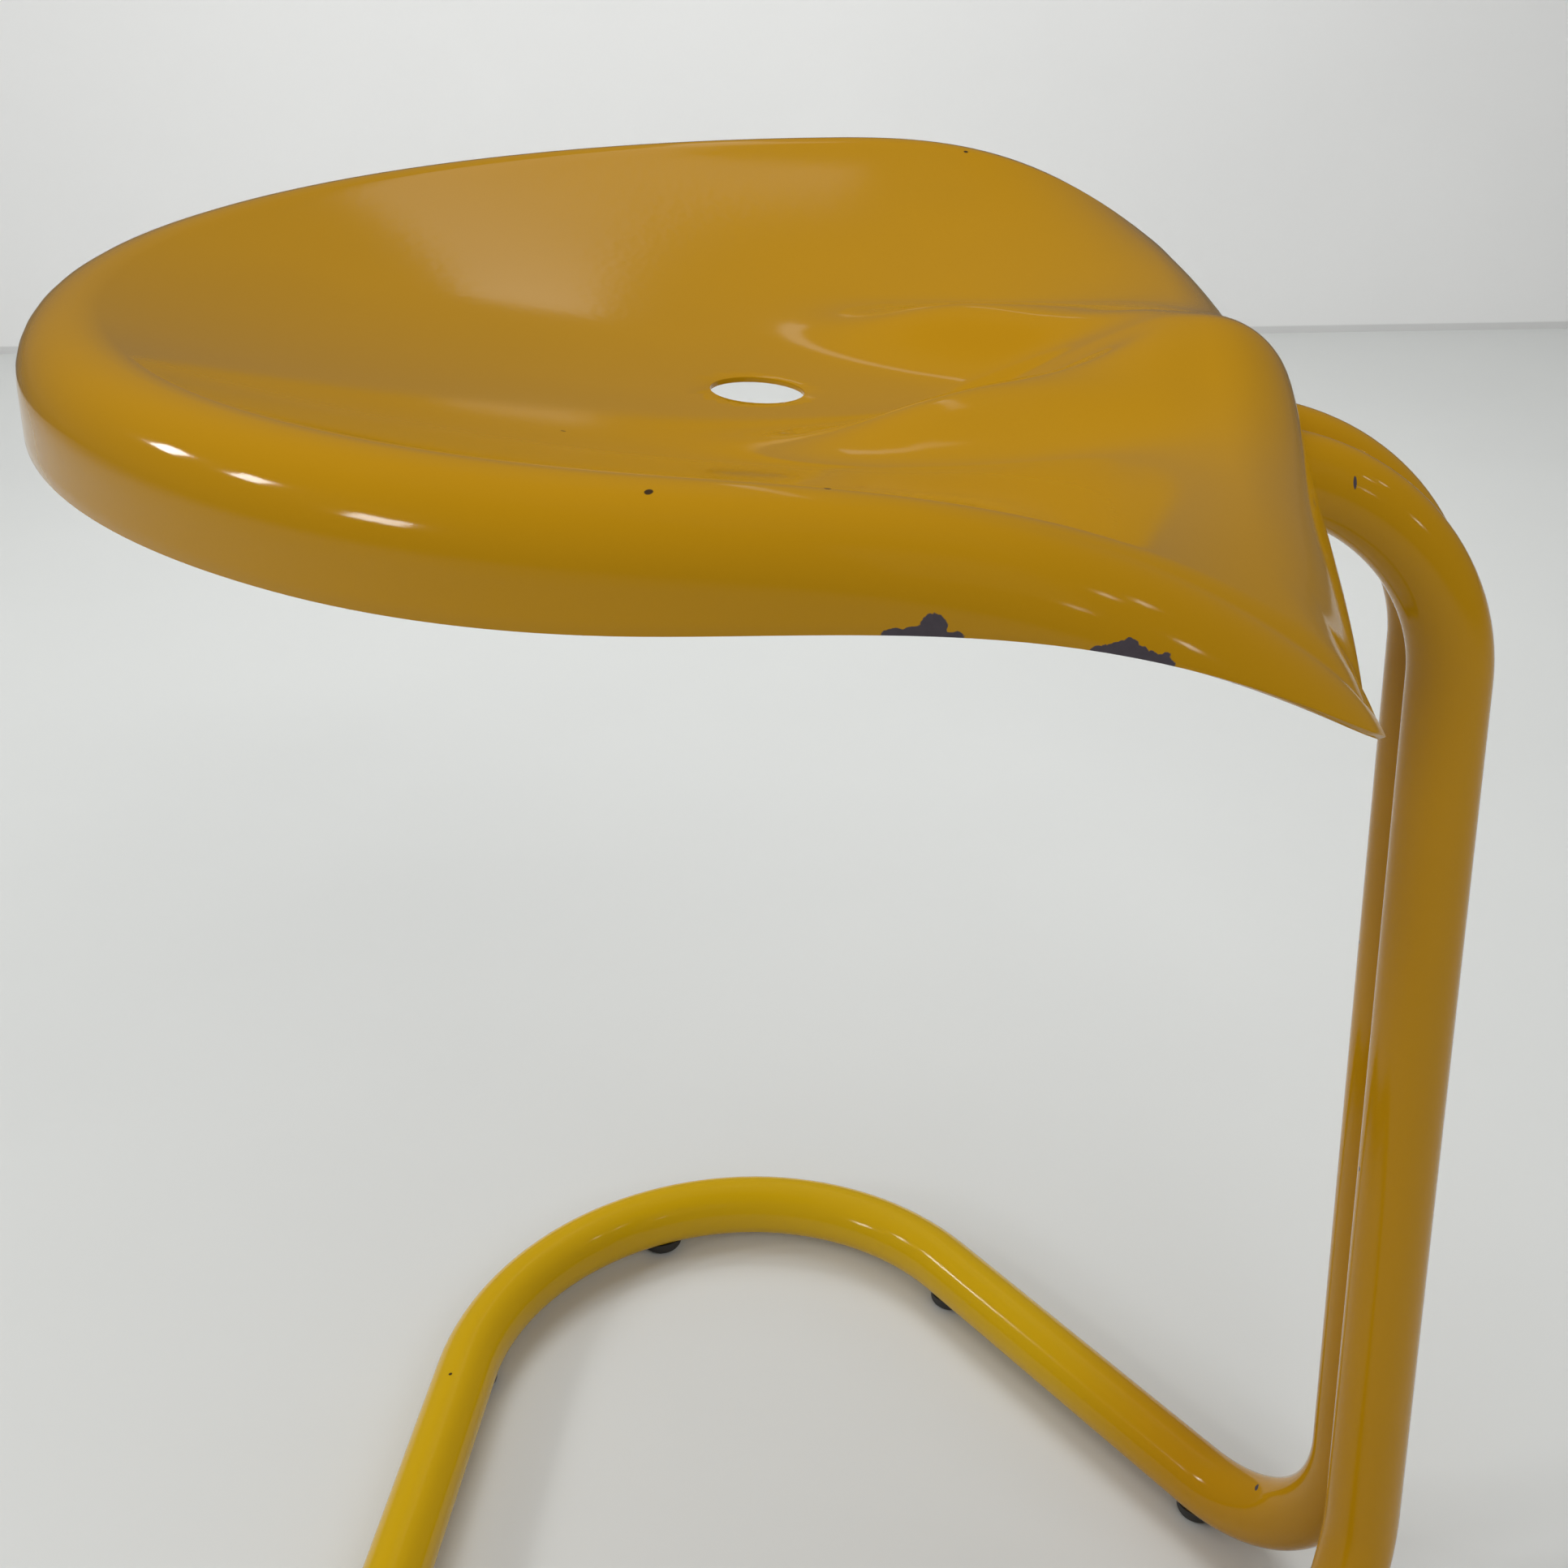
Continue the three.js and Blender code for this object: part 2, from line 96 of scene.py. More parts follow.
class PanSizes(bpy.types.PropertyGroup):
    thickness: length("Thickness", "Thickness of the pressed sheet", 1.6 * MM)
    rim_height: length("Rim height", "From the floor to the top of the rolled rim", 522.3 * MM)
    bowl_depth: length("Bowl depth", "From the top of the rim down to the bottom of the bowl", 43.9 * MM)
    crest_radius: length("Crest radius", "From the middle of the bowl to the top of the rim", 217.9 * MM)
    inner_roll: length("Inner roll", "Radius of the rim's inner side", 16 * MM)
    outer_roll: length("Outer roll", "Radius of the rim's outer side", 15 * MM)
    skirt_depth: length("Skirt depth", "From the top of the rim to the lower edge, at the back", 28.3 * MM)
    seat_reach: length("Seat reach", "From the uprights' axis back to the middle of the bowl", 166.3 * MM)
    front_reach: length("Front reach", "From the middle of the bowl forward to the front edge", 115 * MM)
    front_bow: length("Front bow", "How far the edge's middle stands forward of its tips", 5.1 * MM)
    front_half_width: length("Front half width", "From the plane of symmetry to a front tip", 190 * MM)
    drain_diameter: length("Drain diameter", "Diameter of the hole in the bowl", 27.6 * MM)
    drain_reach: length("Drain reach", "From the middle of the bowl back to the hole", 39.5 * MM)
    drain_margin_share: share("Drain margin", "How far round the hole the net is drawn to its edge", 0.25)
    fall_depth: length("Fall depth", "How far the rim falls at the fall's reach", 23.7 * MM)
    fall_reach: length("Fall reach", "Distance over which the rim falls by that much", 110 * MM)
    fall_start: length("Fall start", "Forward of the middle, where the fall starts", -38.3 * MM, min=-1)
    fall_exponent: number("Fall exponent", "How late the fall comes", 2.88)
    fall_spread: number("Fall spread", "How fast the fall grows towards the rim", 4.0)
    skirt_fade_start: length("Skirt fade start", "Where the trim starts, like the fall", -103 * MM, min=-1)
    skirt_fade_exponent: number("Skirt fade exponent", "How late the skirt gets shorter", 2.05)
    skirt_tip_share: share("Skirt at the tips", "Share of the skirt's depth left at the tips", 0.067)
    pommel_rise: length("Pommel rise", "Height of the ridge between the thighs", 18.9 * MM)
    pommel_start: length("Pommel start", "Where the ridge starts, forward of the bowl's middle", 15.6 * MM)
    pommel_ramp: length("Pommel ramp", "Distance over which the ridge rises", 85.6 * MM)
    pommel_ramp_share: share("Pommel ramp share", "Bends the ridge's rise towards its start", 0.66)
    pommel_half_width: length("Pommel half width", "To where the ridge has half its height", 41.2 * MM)
    pommel_exponent: number("Pommel exponent", "How flat the ridge's top is", 1.6)
    brow_rise: length("Brow rise", "Height of the brow between the bowl and the thigh hollows", 14.5 * MM)
    brow_front: length("Brow front", "From the bowl's middle to the brow's line at the pommel", 85 * MM)
    brow_bow: length("Brow bow", "How far back the brow's line runs at its ends", 75 * MM)
    brow_turn: length("Brow turn", "From the plane of symmetry to the brow's halfway back", 34 * MM)
    brow_blend: number("Brow blend", "How sharply the brow and the pommel run into each other", 3.0)
    brow_end: length("Brow end", "From the plane of symmetry to the brow's end", 100 * MM)
    brow_fade: length("Brow fade", "Over how much of its end the brow sinks to nothing", 60 * MM)
    brow_back_width: length("Brow back width", "From the brow's line back to half its height", 27 * MM)
    brow_front_width: length("Brow front width", "From the brow's line forward to half its height", 60 * MM)
    brow_edge_fade: length("Brow edge fade", "From the front edge to where the brow is whole", 45 * MM)
    lip_radius: length("Lip radius", "Radius of the rolled front edge", 28 * MM)
    lip_angle: turn("Lip angle", "How far the front edge turns down", 68)
    lip_fade: length("Lip fade", "From the plane of symmetry to where the lip starts to fade out", 166 * MM)
    edge_round: length("Edge rounding", "Radius of the paint over the sheet's cut edges", 0.45 * MM)


class WeldSizes(bpy.types.PropertyGroup):
    radius: length("Bead radius", "Radius of a weld bead", 3 * MM)
    bead_length: length("Bead length", "Length of a bead without its round ends", 26 * MM)
    reach: length("Bead reach", "From the uprights' axis back to the bead's front end", 140 * MM)
    offset: length("Bead offset", "Sideways from the tube's axis", 7.4 * MM)
    ripple_pitch: length("Ripple pitch", "Distance between the bead's ripples", 2.4 * MM)
    ripple_height: length("Ripple height", "Height of the bead's ripples", 0.28 * MM)


class PlugSizes(bpy.types.PropertyGroup):
    head: length("Head", "Thickness of the head's edge", 2 * MM)
    crown: length("Crown", "Rise of the domed head", 0.8 * MM)
    insert: length("Insert", "Length inside the tube", 12 * MM)
    fit_gap: length("Fit gap", "Clear space between the insert and the bore", 0.5 * MM)


class GlideSizes(bpy.types.PropertyGroup):
    diameter: length("Diameter", "Diameter of the glide", 18.2 * MM)
    face_diameter: length("Face diameter", "Diameter of the flat on the floor", 9.6 * MM)
    round_height: length("Rounding", "Height of the rounded edge", 4.1 * MM)
    height: length("Height", "Height of the glide's side", 6.3 * MM)
    drop: length("Drop", "How far the glide holds the tube off the floor", 3.7 * MM)
    stem_diameter: length("Stem diameter", "Diameter of the stem in the tube's hole", 7.8 * MM)
    stem_reach: length("Stem reach", "Length of the stem past the tube's wall", 5 * MM)
    hole_gap: length("Hole gap", "Clear space round the stem", 0.3 * MM)
    heel_reach: length("Heel reach", "From the uprights' axis along the leg to the first glide", 67.5 * MM)
    leg_reach: length("Leg reach", "From the uprights' axis along the leg to the second glide", 221.8 * MM)
    corner_share: share("Corner share", "Place of the third glide round the corner bend", 0.531)
    cross_share: share("Cross share", "Place of the fourth glide round the corner bend", 0.96)
    seat_gap: length("Seat gap", "Clear space between pieces that touch", 0.3 * MM)


# Colours and surface detail that a maker would change

class Finishes(bpy.types.PropertyGroup):
    enamel: colour("Enamel", "Golden yellow of the seat and the uprights", (0.470, 0.236, 0.004))
    # Painted light: a lighter, more lemon yellow that stands for the stronger light falling on the loop on
    # the floor.
    enamel_painted_light: colour("Enamel with painted light", "Lighter yellow of the loop on the floor", (0.60, 0.375, 0.006))
    enamel_roughness: share("Enamel roughness", "Roughness of the stove enamel", 0.08)
    enamel_shine: share("Enamel shine", "Strength of the enamel's mirror reflection", 0.2)
    primer: colour("Primer", "Primer and steel where the enamel is chipped", (0.075, 0.062, 0.074))
    dust: colour("Dust", "Dark specks caught in the enamel", (0.05, 0.028, 0.012))
    plastic: colour("Plastic", "Black moulded plastic of the glides and plugs", (0.018, 0.018, 0.02))
    floor: colour("Floor", "Pale floor", (0.71, 0.725, 0.71))
    wall: colour("Wall", "Pale wall", (0.88, 0.88, 0.87))


class StageSettings(bpy.types.PropertyGroup):
    camera_place: place("Camera place", "Where the camera stands", (-0.5645, -0.0558, 0.6366))
    camera_yaw: turn("Camera yaw", "Turn from +X towards +Y", 2.48)
    camera_pitch: turn("Camera pitch", "Turn down from level", 19.27)
    camera_roll: turn("Camera roll", "Turn about the line of sight", 0.35)
    lens: number("Lens", "Focal length in millimetres on the sensor below", 45.83)
    sensor: number("Sensor", "Sensor width in millimetres", 36.0)
    shift_x: number("Shift across", "Lens shift across the frame, as a share of its width", -0.0776)
    shift_y: number("Shift up", "Lens shift up the frame, as a share of its width", -0.1656)
    floor_size: length("Floor size", "Side of the floor", 14.0)
    wall_distance: length("Wall distance", "From the stool's middle to the wall behind it", 2.0)
    wall_height: length("Wall height", "Height of the wall, out of the photograph's view", 1.25)
    wall_stretch: number("Wall stretch", "The wall's length over its height", 8.0)
    wall_turn: turn("Wall turn", "Turn of the wall about the upright axis", 7.8)
    light_scale: number("Light", "Scales every lamp together", 0.97)
    sky_light: number("Sky light", "Soft light from all around", 0.12)
    backdrop: colour("Backdrop", "Pale tone behind the floor and the wall", (0.66, 0.67, 0.66))


GROUPS = {
    "stool_tube": TubeSizes,
    "stool_pan": PanSizes,
    "stool_weld": WeldSizes,
    "stool_plug": PlugSizes,
    "stool_glide": GlideSizes,
    "stool_finish": Finishes,
    "stool_stage": StageSettings,
}


def stool(group):
    """The settings of one group, as they stand in the scene."""
    return getattr(bpy.context.scene, f"stool_{group}")


# Steps that every piece shares

def clear_selection():
    if bpy.context.object and bpy.context.object.mode != "OBJECT":
        bpy.ops.object.mode_set(mode="OBJECT")
    bpy.ops.object.select_all(action="DESELECT")


def take_up(obj):
    clear_selection()
    obj.select_set(True)
    bpy.context.view_layer.objects.active = obj


def edit_all(obj):
    take_up(obj)
    bpy.ops.object.mode_set(mode="EDIT")
    bpy.ops.mesh.select_mode(type="VERT")
    bpy.ops.mesh.select_all(action="SELECT")


def leave_edit():
    bpy.ops.object.mode_set(mode="OBJECT")


def named(name):
    obj = bpy.context.object
    obj.name = name
    obj.data.name = name
    return obj


def settle(obj):
    """Puts a primitive's turn and scale into its mesh and its object at the origin."""
    take_up(obj)
    bpy.ops.object.transform_apply(location=True, rotation=True, scale=True)
    return obj


def apply_modifier(obj, kind, **settings):
    take_up(obj)
    modifier = obj.modifiers.new(kind.title(), kind)
    for key, value in settings.items():
        setattr(modifier, key, value)
    bpy.ops.object.modifier_apply(modifier=modifier.name)


def cut_away(obj, cutter, operation="DIFFERENCE"):
    apply_modifier(obj, "BOOLEAN", object=cutter, operation=operation, solver="EXACT")
    bpy.data.objects.remove(cutter)


def merge_and_face_out(obj):
    edit_all(obj)
    bpy.ops.mesh.remove_doubles(threshold=MERGE_DISTANCE)
    bpy.ops.mesh.normals_make_consistent(inside=False)
    leave_edit()
    return obj


def smooth(obj, degrees):
    take_up(obj)
    bpy.ops.object.shade_smooth_by_angle(angle=math.radians(degrees))
    return obj


def copied(obj, name, matrix):
    twin = obj.copy()
    twin.data = obj.data.copy()
    bpy.context.collection.objects.link(twin)
    twin.data.transform(matrix)
    twin.name = name
    twin.data.name = name
    return twin


def mirrored(obj, name):
    """The same piece on the other side of the plane of symmetry."""
    twin = copied(obj, name, Matrix.Scale(-1, 4, Vector((1, 0, 0))))
    twin.data.flip_normals()
    return twin


def spun_profile(name, points, steps):
    """Draws a profile point by point in the XZ plane and spins it once about the Z axis."""
    clear_selection()
    start = Vector(points[0])
    bpy.ops.mesh.primitive_plane_add(size=MM, location=start)
    obj = settle(named(name))
    edit_all(obj)
    bpy.ops.mesh.merge(type="CENTER")
    bpy.ops.mesh.select_all(action="SELECT")
    for before, after in zip(points, points[1:]):
        step = Vector(after) - Vector(before)
        bpy.ops.mesh.extrude_vertices_move(TRANSFORM_OT_translate={"value": step})
    bpy.ops.mesh.select_all(action="SELECT")
    bpy.ops.mesh.spin(steps=steps, angle=FULL_TURN, center=Vector(), axis=FLOOR_UP, use_auto_merge=True)
    leave_edit()
    return merge_and_face_out(obj)


def finish_piece(obj, nodes, material):
    obj.data.materials.clear()
    obj.data.materials.append(material)
    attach(obj, "root")
    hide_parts(*nodes)


# Places that come from the sizes

def tube_radius():
    return stool("tube").diameter / 2


def upright_x():
    tube = stool("tube")
    return (tube.diameter + tube.upright_gap) / 2


def upright_y():
    return TUBE_FRONT + tube_radius()


def base_height():
    return stool("glide").drop + tube_radius()


def corner_middle():
    """Middle of the right back corner bend, measured from the uprights' axis."""
    tube = stool("tube")
    return Vector((
        tube.base_width / 2 - tube_radius() - tube.corner_bend,
        tube.cross_reach - tube.corner_bend,
        0,
    ))


def leg_angle():
    """How far the leg turns from +Y towards +X."""
    middle = corner_middle()
    across = middle.x - upright_x()
    away = math.hypot(across, middle.y)
    return math.atan2(across, middle.y) + math.asin(stool("tube").corner_bend / away)


def leg_place(reach):
    angle = leg_angle()
    return Vector((upright_x() + reach * math.sin(angle), upright_y() + reach * math.cos(angle), 0))


def corner_place(part):
    angle = (QUARTER_TURN + leg_angle()) * part - leg_angle()
    spoke = Vector((math.cos(angle), math.sin(angle), 0))
    middle = corner_middle() + Vector((0, upright_y(), 0))
    return middle + spoke * stool("tube").corner_bend


# The pan's pressed shape

def smoother(t):
    t = min(max(t, 0.0), 1.0)
    return t * t * t * (t * (6 * t - 15) + 10)


def front_edge(x):
    pan = stool("pan")
    return pan.front_reach - pan.front_bow * (x / pan.front_half_width) ** 2


def front_radius(angle, back):
    """Distance from the bowl's middle, at an angle from straight forward, to the front edge moved back."""
    pan = stool("pan")
    reach = pan.front_reach - back
    bow = pan.front_bow * (math.sin(angle) / pan.front_half_width) ** 2
    return 2 * reach / max(math.cos(angle) + math.sqrt(math.cos(angle) ** 2 + 4 * bow * reach), 1e-9)


def roll_width(depth):
    """How far the outer roll has come out from the crest at a depth under it."""
    pan = stool("pan")
    return math.sqrt(pan.outer_roll ** 2 - (pan.outer_roll - min(depth, pan.outer_roll)) ** 2)


def outer_radius():
    pan = stool("pan")
    return pan.crest_radius + pan.outer_roll


def tip_radius():
    """Distance from the bowl's middle to a front tip, where little is left of the outer roll."""
    pan = stool("pan")
    return pan.crest_radius + roll_width(pan.skirt_depth * pan.skirt_tip_share)


def tip_angle():
    """How far a front tip stands round from straight forward."""
    pan = stool("pan")
    outside = tip_radius()
    bow = pan.front_bow * (outside / pan.front_half_width) ** 2
    reach = pan.front_reach - bow
    return math.acos(2 * reach / (outside + math.sqrt(outside ** 2 - 4 * bow * reach)))


def lip_width():
    pan = stool("pan")
    return pan.lip_radius * math.sin(pan.lip_angle)


def lip_drop(x, forward):
    """An arc that ends at the front edge and fades out towards the tips."""
    pan = stool("pan")
    on_arc = min(max(forward - front_edge(x) + lip_width(), 0.0), lip_width())
    faded = (abs(x) - pan.lip_fade) / (tip_radius() * math.sin(tip_angle()) - pan.lip_fade)
    faded = min(max(faded, 0.0), 1.0)
    left = 1 - faded * faded * (3 - 2 * faded)
    return (pan.lip_radius - math.sqrt(pan.lip_radius ** 2 - on_arc ** 2)) * left


def brow_rise(x, forward):
    """The brow that parts the bowl from the thigh hollows, from the pommel outwards on both sides."""
    pan = stool("pan")
    inside = smoother((pan.brow_end - abs(x)) / pan.brow_fade)
    ridge_line = pan.brow_front - pan.brow_bow * (1 - 2 ** -((x / pan.brow_turn) ** 2))
    off_ridge = forward - ridge_line
    width = pan.brow_back_width if off_ridge < 0 else pan.brow_front_width
    behind_edge = smoother((front_edge(x) - forward) / pan.brow_edge_fade)
    return pan.brow_rise * inside * behind_edge * 2 ** -((off_ridge / width) ** 2)


def press_offset(x, forward):
    """How far the press moves the sheet up at x, and at forward in front of the bowl's middle."""
    pan = stool("pan")
    fallen = max(forward - pan.fall_start, 0.0) / pan.fall_reach
    spread = min(math.hypot(x, forward) / pan.crest_radius, 1.0) ** pan.fall_spread
    along = min(max((forward - pan.pommel_start) / pan.pommel_ramp, 0.0), 1.0)
    ramp = smoother(along ** pan.pommel_ramp_share)
    across = 2 ** -((abs(x) / pan.pommel_half_width) ** pan.pommel_exponent)
    fall = pan.fall_depth * fallen ** pan.fall_exponent * spread
    blend = pan.brow_blend
    raised = ((pan.pommel_rise * ramp * across) ** blend + brow_rise(x, forward) ** blend) ** (1 / blend)
    return raised - fall - lip_drop(x, forward)


def skirt_share(angle):
    """Share of the skirt's depth that the trimmed rim keeps, at an angle from straight forward."""
    pan = stool("pan")
    tip = pan.crest_radius * math.cos(tip_angle())
    faded = (pan.crest_radius * math.cos(angle) - pan.skirt_fade_start) / (tip - pan.skirt_fade_start)
    faded = min(max(faded, 0.0), 1.0)
    return 1 - (1 - pan.skirt_tip_share) * faded ** pan.skirt_fade_exponent


def bowl_numbers():
    """Radius of the bowl, and the angle at which it meets the rim's inner roll."""
    pan = stool("pan")
    radius = (pan.crest_radius ** 2 + pan.bowl_depth ** 2) / (2 * pan.bowl_depth) - pan.inner_roll
    return radius, math.asin(pan.crest_radius / (radius + pan.inner_roll))


def sheet_height(distance):
    """Height of the upper side before it is pressed, at a distance from the bowl's middle."""
    pan = stool("pan")
    radius, angle = bowl_numbers()
    if distance <= radius * math.sin(angle):
        return pan.rim_height - pan.bowl_depth + radius - math.sqrt(radius ** 2 - distance ** 2)
    roll = pan.inner_roll if distance < pan.crest_radius else pan.outer_roll
    aside = min(abs(distance - pan.crest_radius), roll)
    return pan.rim_height - roll + math.sqrt(roll ** 2 - aside ** 2)


def pan_profile(skirt_steps, outer_steps, inner_steps, bowl_steps):
    """From the skirt's lower edge over the rim and down to the middle of the bowl."""
    pan = stool("pan")
    radius, bowl_angle = bowl_numbers()
    outside = outer_radius()
    points = []
    straight = pan.skirt_depth - pan.outer_roll
    for k in range(skirt_steps):
        points.append((outside, 0, pan.rim_height - pan.skirt_depth + straight * k / skirt_steps))
    for k in range(outer_steps):
        angle = QUARTER_TURN * k / outer_steps
        points.append((
            pan.crest_radius + pan.outer_roll * math.cos(angle), 0,
            pan.rim_height - pan.outer_roll * (1 - math.sin(angle)),
        ))
    for k in range(inner_steps):
        angle = bowl_angle * k / inner_steps
        points.append((
            pan.crest_radius - pan.inner_roll * math.sin(angle), 0,
            pan.rim_height - pan.inner_roll * (1 - math.cos(angle)),
        ))
    for k in range(bowl_steps, -1, -1):
        distance = radius * math.sin(bowl_angle) * k / bowl_steps
        points.append((distance, 0, sheet_height(distance)))
    return points


def fit_outline(obj, steps):
    """Draws the round sheet's net to the pan's outline. One spoke ends in the front tip, those in front of it
    end on the front edge, with most of their rings in the lip, and those behind it on the trimmed rim."""
    pan = stool("pan")
    outside, tip, lip = outer_radius(), tip_angle(), lip_width()
    spoke_angle = FULL_TURN / steps
    tip_spoke = round(tip / spoke_angle) * spoke_angle
    for vertex in obj.data.vertices:
        x, forward = vertex.co.x, -vertex.co.y
        reach = math.hypot(x, forward)
        spoke = math.atan2(abs(x), forward)
        if spoke < tip_spoke - spoke_angle / 2:
            angle = spoke * tip / tip_spoke
            edge = front_radius(angle, 0)
            lip_start = front_radius(angle, lip)
            if reach > lip_start:
                reach = lip_start + (edge - lip_start) * (reach - lip_start) / (outside - lip_start)
                vertex.co.z = sheet_height(reach)
        else:
            angle = tip + (spoke - tip_spoke) * (math.pi - tip) / (math.pi - tip_spoke)
            if reach > pan.crest_radius:
                depth = (pan.rim_height - vertex.co.z) * skirt_share(angle)
                reach = pan.crest_radius + roll_width(depth)
                vertex.co.z = pan.rim_height - depth
        vertex.co.x = math.copysign(reach * math.sin(angle), x)
        vertex.co.y = -reach * math.cos(angle)
    return merge_and_face_out(obj)


def select_faces(obj, chosen):
    """Goes into edit mode with the chosen faces selected and no others."""
    edit_all(obj)
    bpy.ops.mesh.select_mode(type="FACE")
    bpy.ops.mesh.select_all(action="DESELECT")
    leave_edit()
    obj.data.polygons.foreach_set("select", chosen)
    bpy.ops.object.mode_set(mode="EDIT")


def punch_drain(obj):
    """Draws the edge of the opening to a true circle and takes out the faces inside it."""
    pan = stool("pan")
    middle = Vector((0, pan.drain_reach))
    radius = pan.drain_diameter / 2
    over_hole = [
        (face.center.xy - middle).length < radius * (1 + pan.drain_margin_share) for face in obj.data.polygons
    ]
    select_faces(obj, over_hole)
    bpy.ops.mesh.region_to_loop()
    leave_edit()
    for vertex in obj.data.vertices:
        if vertex.select:
            vertex.co.xy = middle + (vertex.co.xy - middle).normalized() * radius
            vertex.co.z = sheet_height(vertex.co.xy.length)
    select_faces(obj, over_hole)
    bpy.ops.mesh.delete(type="FACE")
    leave_edit()


def press(obj):
    for vertex in obj.data.vertices:
        vertex.co.z += press_offset(vertex.co.x, -vertex.co.y)


def under_side(x, y):
    """Height of the pan's under side at a place near the middle of the bowl."""
    pan = stool("pan")
    forward = upright_y() + pan.seat_reach - y
    return sheet_height(math.hypot(x, forward)) + press_offset(x, forward) - pan.thickness


# Materials

class Wiring:
    """Adds nodes to one material and joins them, with the object's own coordinates at hand."""

    def __init__(self, name):
        self.material = bpy.data.materials.new(name)
        self.material.use_nodes = True
        self.nodes = self.material.node_tree.nodes
        self.links = self.material.node_tree.links
        self.shader = self.nodes["Principled BSDF"]
        self.coordinates = self.nodes.new("ShaderNodeTexCoord").outputs["Object"]

    def put(self, kind, inputs=None, **settings):
        node = self.nodes.new(kind)
        for key, value in settings.items():
            setattr(node, key, value)
        for key, value in (inputs or {}).items():
            self.feed(value, node.inputs[key])
        return node

    def feed(self, value, socket):
        if isinstance(value, bpy.types.NodeSocket):
            self.links.new(value, socket)
        else:
            socket.default_value = value

    def math(self, operation, first, second):
        return self.put("ShaderNodeMath", {0: first, 1: second}, operation=operation).outputs[0]

    def noise(self, scale, detail, roughness=0.5):
        node = self.put("ShaderNodeTexNoise", {
            "Vector": self.coordinates, "Scale": scale, "Detail": detail, "Roughness": roughness,
        })
        return node.outputs["Fac"]

    def axis(self, letter):
        return self.put("ShaderNodeSeparateXYZ", {0: self.coordinates}).outputs[letter]

    def between(self, value, low, high, low_out=0.0, high_out=1.0):
        node = self.put("ShaderNodeMapRange", {
            "Value": value, "From Min": low, "From Max": high, "To Min": low_out, "To Max": high_out,
        }, interpolation_type="SMOOTHSTEP")
        return node.outputs["Result"]

    def mixed(self, factor, first, second):
        node = self.put("ShaderNodeMix", {"Factor": factor}, data_type="RGBA")
        self.feed(first, node.inputs[6])
        self.feed(second, node.inputs[7])
        return node.outputs[2]

    def bump(self, height, strength, depth):
        node = self.put("ShaderNodeBump", {"Height": height, "Strength": strength, "Distance": depth})
        self.feed(node.outputs["Normal"], self.shader.inputs["Normal"])

    def spot(self, middle, radii):
        """Distance from the spot's middle, as a share of its radii."""
        away = self.put("ShaderNodeVectorMath", {0: self.coordinates, 1: middle}, operation="SUBTRACT")
        scaled = self.put("ShaderNodeVectorMath", {0: away.outputs[0], 1: radii}, operation="DIVIDE")
        return self.put("ShaderNodeVectorMath", {0: scaled.outputs[0]}, operation="LENGTH").outputs["Value"]


def rgba(tone, times=1.0):
    """A colour for a socket, made darker or lighter by a factor."""
    return (*(min(c * times, 1.0) for c in tone), 1.0)


# Scales are in repeats a metre, shares and tints are factors, and ranges run from nothing to the whole effect

CLOUD_SCALE = 7.0
CLOUD_RANGE = (0.35, 0.7)
CLOUD_TINT = 0.96
GRAIN_SCALE = 1400.0
GRAIN_SHARE = 0.08
GRAIN_TINT = 1.35
GRAIN_HEIGHT_SHARE = 0.12
PEEL_SCALE = 260.0
PEEL_HEIGHT_SHARE = 0.6
PEEL_STRENGTH = 0.35
PEEL_DEPTH = 0.06 * MM
SHINE_RANGE = (0.3, 0.7)
ROUGHNESS_SPREAD = (-0.01, 0.015)
ENAMEL_IOR = 1.5
# Heights, and places along Y, over which the painted light on the loop on the floor comes in
PAINTED_LIGHT_HEIGHT_RANGE = (90 * MM, 35 * MM)
PAINTED_LIGHT_BACK_RANGE = (-150 * MM, -70 * MM)
SPECK_RANGE = (1.1, 0.8)
CHIP_RANGE = (1.04, 0.96)
CHIP_EDGE_SCALE = 420.0
CHIP_EDGE_SHARE = 0.9
CHIP_ROUGHNESS = 0.35
CHIP_DEPTH_SHARE = 2.0
PRIMER_SCALE = 700.0
PRIMER_TINT = 0.75
PLASTIC_CLOUD_SCALE = 90.0
PLASTIC_CLOUD_RANGE = (0.35, 0.75)
PLASTIC_TINT = 1.7
PLASTIC_ROUGHNESS = (0.36, 0.5)
PLASTIC_GRAIN_SCALE = 2200.0
PLASTIC_GRAIN_STRENGTH = 0.25
PLASTIC_GRAIN_DEPTH = 0.05 * MM
STAGE_CLOUD_SCALE = 1.6
STAGE_CLOUD_RANGE = (0.3, 0.75)
STAGE_ROUGHNESS = 0.55
FLOOR_MARK_SCALE = 60.0
FLOOR_MARK_RANGE = (0.74, 0.82)
FLOOR_MARK_SHARE = 0.35
FLOOR_MARK_TINT = 0.7
# Painted shadow: the wall darkens in a thin line along its foot, where it meets the floor.
WALL_SHADOW_LINE_RANGE = (11 * MM, 8 * MM)
WALL_SHADOW_LINE_SHARE = 0.45
WALL_SHADOW_LINE_TINT = 0.5


